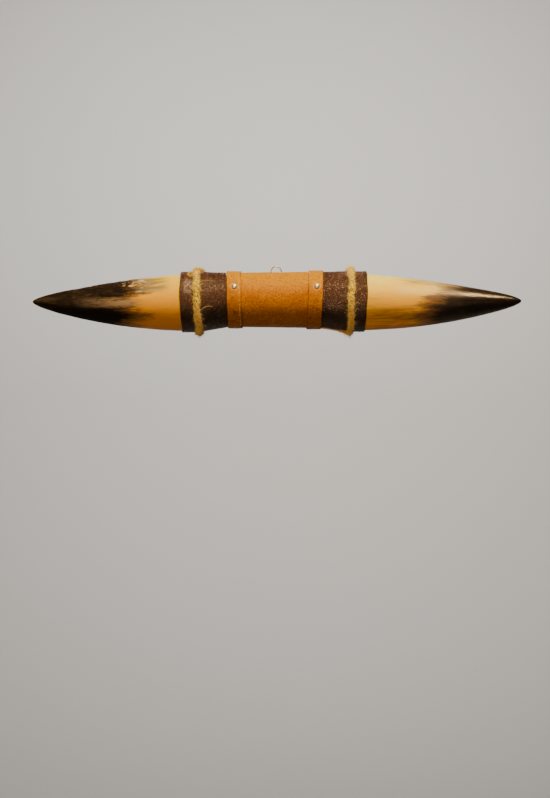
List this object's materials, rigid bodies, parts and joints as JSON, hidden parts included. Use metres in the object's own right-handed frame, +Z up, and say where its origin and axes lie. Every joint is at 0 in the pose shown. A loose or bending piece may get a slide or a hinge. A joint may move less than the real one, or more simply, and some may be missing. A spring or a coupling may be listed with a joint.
{
  "type": "buffalo horn wall mount",
  "caption": "Polished buffalo horns set end to end on a leather-covered core with nailed straps and fuzzy cord ties, hung on a wall by a screw eye.",
  "frame": {"origin": "inside the top of the screw eye's ring, where the nail in the wall bears", "axes": "+X along the horns to the viewer's right, +Y back to the wall, +Z up"},
  "size_m": [0.5511, 0.078, 0.0821],
  "materials": {
    "horn": "polished horn, honey to black-brown, glossy",
    "wood": "turned softwood, unfinished",
    "tan_leather": "tan leather, fine grain, satin",
    "dark_leather": "dark brown grained leather, satin",
    "cord": "pale fuzzy twisted cord",
    "lace": "rawhide lace, plain",
    "nickel": "warm nickel plate, worn bright"
  },
  "bodies": {
    "root": {"wood_core": "wood", "horn_left": "horn", "horn_right": "horn", "tan_sleeve": "tan_leather", "dark_cover_left": "dark_leather", "dark_cover_right": "dark_leather", "strap_left": "tan_leather", "strap_right": "tan_leather", "nail_left_front": "nickel", "nail_left_back": "nickel", "nail_right_front": "nickel", "nail_right_back": "nickel", "tie_left": "cord", "tie_right": "cord", "lace_end": "lace", "screw_eye": "nickel"}
  },
  "joints": []
}
